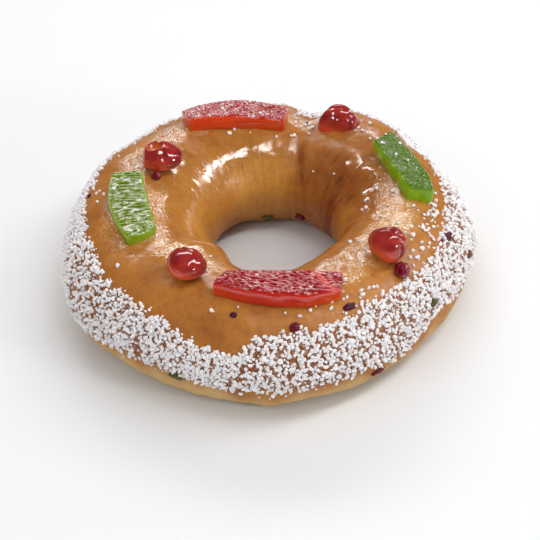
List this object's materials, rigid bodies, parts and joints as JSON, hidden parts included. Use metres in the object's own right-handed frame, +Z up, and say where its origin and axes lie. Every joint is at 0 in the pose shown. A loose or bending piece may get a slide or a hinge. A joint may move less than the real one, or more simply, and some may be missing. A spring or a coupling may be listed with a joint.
{
  "type": "roscon de reyes",
  "caption": "Ring of sweet bread with a belt of pearl sugar, topped with candied fruit strips and candied cherries.",
  "frame": {"origin": "middle of the outline seen from above, at the height of the flat base", "axes": "+Z up through the hole, -Y towards the front, +X to the right"},
  "size_m": [0.2315, 0.2267, 0.0741],
  "materials": {
    "bread_crust": "satin",
    "pearl_sugar": "matte",
    "red_candied_fruit": "gloss",
    "green_candied_fruit": "gloss",
    "candied_cherry": "gloss",
    "candied_berry": "gloss",
    "fruit_scrap": "satin"
  },
  "bodies": {
    "root": {"bread_ring": "bread_crust", "red_strip_front": "red_candied_fruit", "red_strip_back": "red_candied_fruit", "green_strip_left": "green_candied_fruit", "green_strip_right": "green_candied_fruit", "cherry_front_left": "candied_cherry", "cherry_back_left": "candied_cherry", "cherry_back_right": "candied_cherry", "cherry_front_right": "candied_cherry", "berry_back_left": "candied_berry", "berry_front_right": "candied_berry"}
  },
  "joints": []
}
